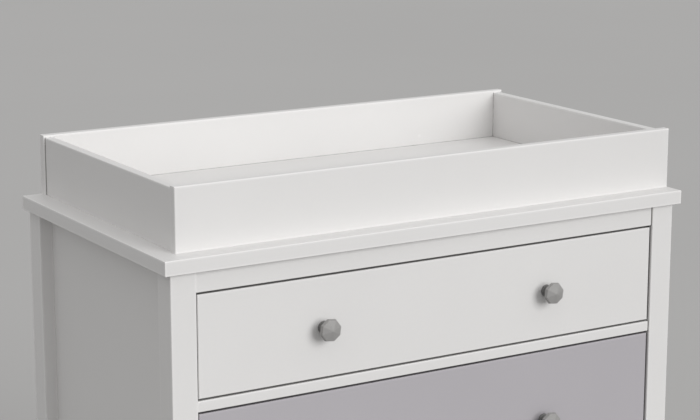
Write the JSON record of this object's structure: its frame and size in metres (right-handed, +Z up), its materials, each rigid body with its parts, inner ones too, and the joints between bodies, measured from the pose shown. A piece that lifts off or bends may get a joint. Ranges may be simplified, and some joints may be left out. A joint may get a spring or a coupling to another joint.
{
  "type": "changing dresser",
  "caption": "Low chest of wide drawers on square legs, with faceted knobs, recessed side panels and an open changing tray on its top.",
  "frame": {"origin": "centre of the whole object's box, on the floor under the leg glides", "axes": "+Z up, -Y towards the drawers' fronts, +X to the right of someone who faces the drawers"},
  "size_m": [0.914, 0.53, 0.96],
  "materials": {
    "white_paint": "satin white paint",
    "lilac_paint": "satin pale lilac-grey paint",
    "knob_metal": "satin grey",
    "box_wood": "clear-lacquered pine",
    "panel_board": "thin pale board",
    "frame_wood": "raw pine",
    "slide_steel": "zinc plated",
    "screw_steel": "zinc plated",
    "nylon": "moulded nylon"
  },
  "bodies": {
    "carcass": {"top_panel": "white_paint", "front_left_leg": "white_paint", "front_right_leg": "white_paint", "back_left_leg": "white_paint", "back_right_leg": "white_paint", "left_side_panel": "white_paint", "right_side_panel": "white_paint", "top_rail": "white_paint", "upper_mid_rail": "white_paint", "lower_mid_rail": "white_paint", "bottom_rail": "white_paint", "upper_back_rail": "frame_wood", "lower_back_rail": "frame_wood", "back_panel": "panel_board", "bottom_panel": "panel_board", "bottom_cleats": "frame_wood", "slide_battens": "frame_wood", "corner_blocks": "frame_wood", "leg_glides": "nylon", "front_glides": "nylon", "tray_front": "white_paint", "tray_back": "white_paint", "tray_left_side": "white_paint", "tray_right_side": "white_paint", "tray_floor": "white_paint", "tray_brackets": "screw_steel", "tray_bracket_screws": "screw_steel", "top_fixed_slides": "slide_steel", "middle_fixed_slides": "slide_steel", "bottom_fixed_slides": "slide_steel"},
    "top_drawer": {"top_front": "white_paint", "top_left_side": "box_wood", "top_right_side": "box_wood", "top_back": "box_wood", "top_bottom": "panel_board", "top_knobs": "knob_metal", "top_knob_screws": "screw_steel", "top_moving_slides": "slide_steel", "top_rear_glides": "nylon"},
    "middle_drawer": {"middle_front": "lilac_paint", "middle_left_side": "box_wood", "middle_right_side": "box_wood", "middle_back": "box_wood", "middle_bottom": "panel_board", "middle_knobs": "knob_metal", "middle_knob_screws": "screw_steel", "middle_moving_slides": "slide_steel", "middle_rear_glides": "nylon"},
    "bottom_drawer": {"bottom_front": "lilac_paint", "bottom_left_side": "box_wood", "bottom_right_side": "box_wood", "bottom_back": "box_wood", "bottom_bottom": "panel_board", "bottom_knobs": "knob_metal", "bottom_knob_screws": "screw_steel", "bottom_moving_slides": "slide_steel", "bottom_rear_glides": "nylon"}
  },
  "joints": [
    {"name": "top_drawer_slide", "type": "slide", "parent": "carcass", "child": "top_drawer", "axis": [0, -1, 0], "range_m": [0, 0.32]},
    {"name": "middle_drawer_slide", "type": "slide", "parent": "carcass", "child": "middle_drawer", "axis": [0, -1, 0], "range_m": [0, 0.32]},
    {"name": "bottom_drawer_slide", "type": "slide", "parent": "carcass", "child": "bottom_drawer", "axis": [0, -1, 0], "range_m": [0, 0.32]}
  ]
}
